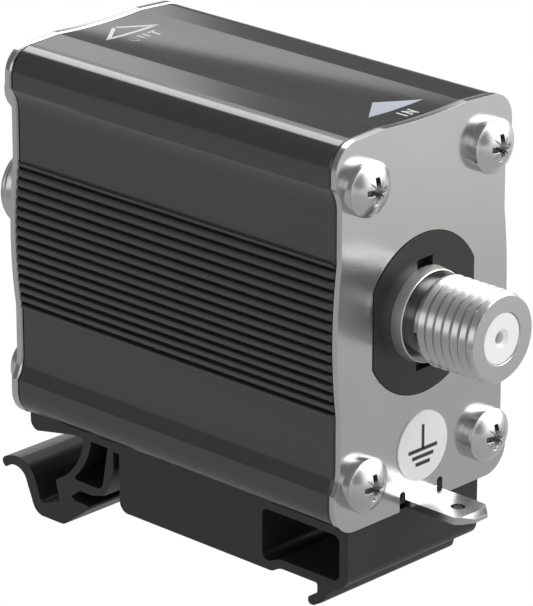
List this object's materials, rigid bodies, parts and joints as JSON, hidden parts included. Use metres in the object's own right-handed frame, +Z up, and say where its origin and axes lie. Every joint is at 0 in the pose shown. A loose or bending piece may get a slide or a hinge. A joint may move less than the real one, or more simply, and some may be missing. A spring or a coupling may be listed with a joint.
{
  "type": "coax lightning arrestor",
  "caption": "Rail-mounted coaxial surge arrestor: ribbed extruded body between two end plates with threaded ports, an earth tab, and a clip-on foot for a 35 mm rail.",
  "frame": {"origin": "centre of the front port's open end, on the line of both ports", "axes": "+Y runs from the front port to the rear port, +Z is up from the rail foot to the printed top, +X is to the right seen from the front"},
  "size_m": [0.026, 0.0679, 0.0537],
  "materials": {
    "housing": "dark anodised, satin",
    "plate": "satin nickel plate",
    "screw": "bright nickel",
    "port": "bright nickel",
    "bush": "black moulded",
    "insulator": "white moulded",
    "contact": "gold flash",
    "disc": "white print",
    "foot": "black moulded",
    "board": "solder mask",
    "ceramic": "glazed ceramic",
    "wire": "tinned",
    "component": "moulded epoxy",
    "ferrite": "ferrite",
    "winding": "enamelled copper",
    "capacitor": "ceramic chip",
    "clip": "bronze spring"
  },
  "bodies": {
    "root": {"housing": "housing", "front_plate": "plate", "rear_plate": "plate", "earth_disc": "disc", "rail_foot": "foot", "foot_screws": "screw", "circuit_board": "board", "gas_discharge_tube": "ceramic", "gas_tube_line_lead": "wire", "gas_tube_earth_lead": "wire", "suppressor_diode": "component", "coil_bobbin": "ferrite", "coil_winding": "winding", "front_capacitor": "capacitor", "rear_capacitor": "capacitor", "bleed_resistor": "component", "board_earth_clip": "clip", "front_port_shell": "port", "front_port_bush": "bush", "front_port_insulator": "insulator", "front_port_contact": "contact", "front_lock_washer": "plate", "front_port_nut": "screw", "front_plate_screws": "screw", "rear_port_shell": "port", "rear_port_bush": "bush", "rear_port_insulator": "insulator", "rear_port_contact": "contact", "rear_lock_washer": "plate", "rear_port_nut": "screw", "rear_plate_screws": "screw"}
  },
  "joints": []
}
